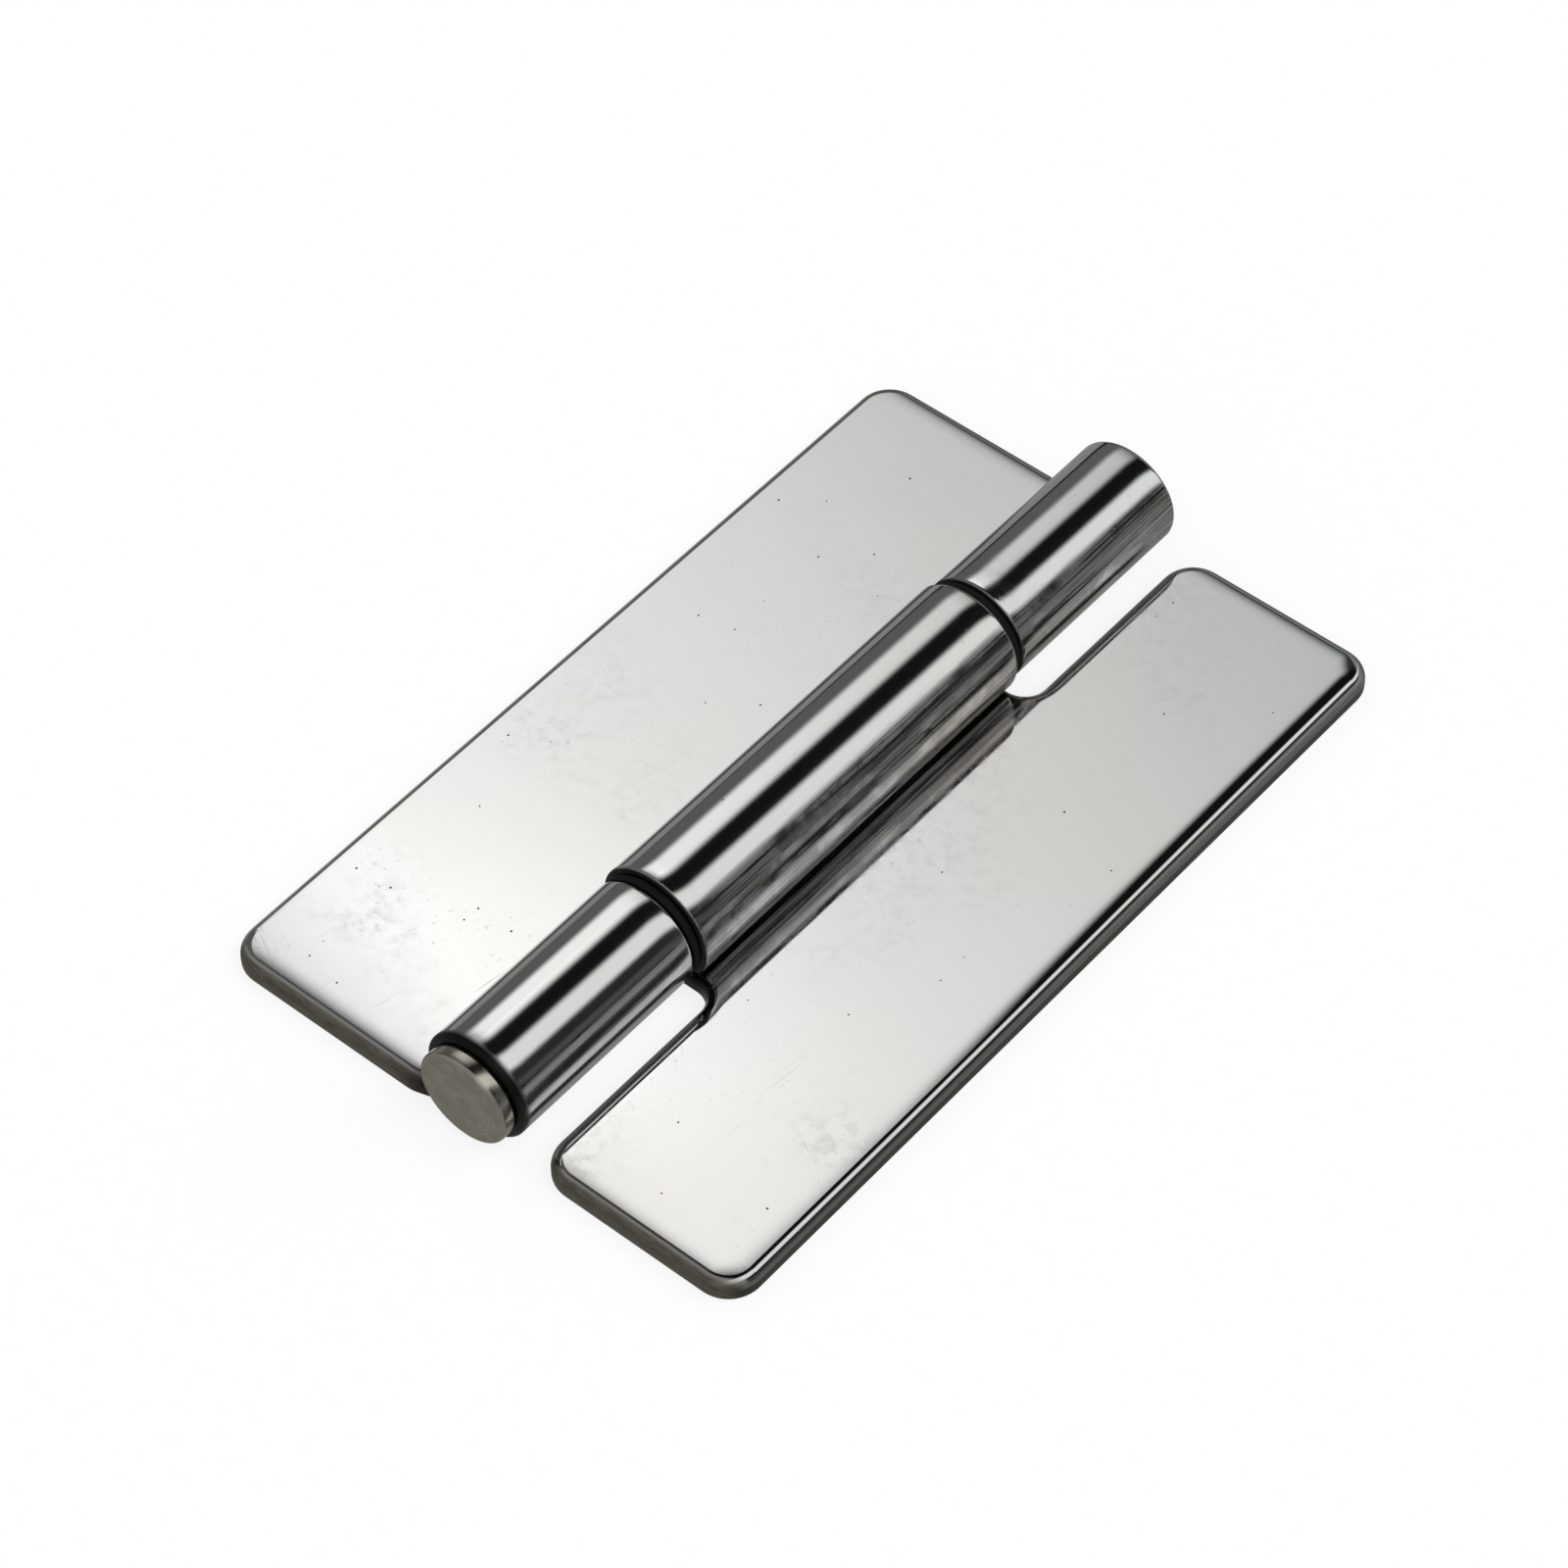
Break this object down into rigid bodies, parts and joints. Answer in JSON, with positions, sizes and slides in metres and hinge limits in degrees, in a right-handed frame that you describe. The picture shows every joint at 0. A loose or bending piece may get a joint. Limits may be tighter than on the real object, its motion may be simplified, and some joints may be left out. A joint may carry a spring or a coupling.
{
  "type": "weld-on butt hinge",
  "caption": "Flat butt hinge in mirror-polished stainless sheet, without screw holes, curled knuckles on a headed pin with black flanged bushes.",
  "frame": {"origin": "on the mounting plane of both leaf backs, under the pin and midway along the whole hinge", "axes": "+X from the frame leaf to the door leaf, +Y along the pin away from its head, +Z out of the mounting plane"},
  "size_m": [0.0512, 0.081, 0.0104],
  "materials": {
    "polished_sheet": "mirror polished 304 stainless steel",
    "pin_steel": "matte, as turned",
    "black_bush": "moulded acetal"
  },
  "bodies": {
    "frame_side": {"frame_leaf": "polished_sheet", "hinge_pin": "pin_steel"},
    "door_side": {"door_leaf": "polished_sheet", "near_bush": "black_bush", "far_bush": "black_bush"}
  },
  "joints": [
    {"name": "hinge_turn", "type": "hinge", "parent": "frame_side", "child": "door_side", "pos_m": [0, 0, 0.00518], "axis": [0, -1, 0], "range_deg": [-90, 180]}
  ]
}
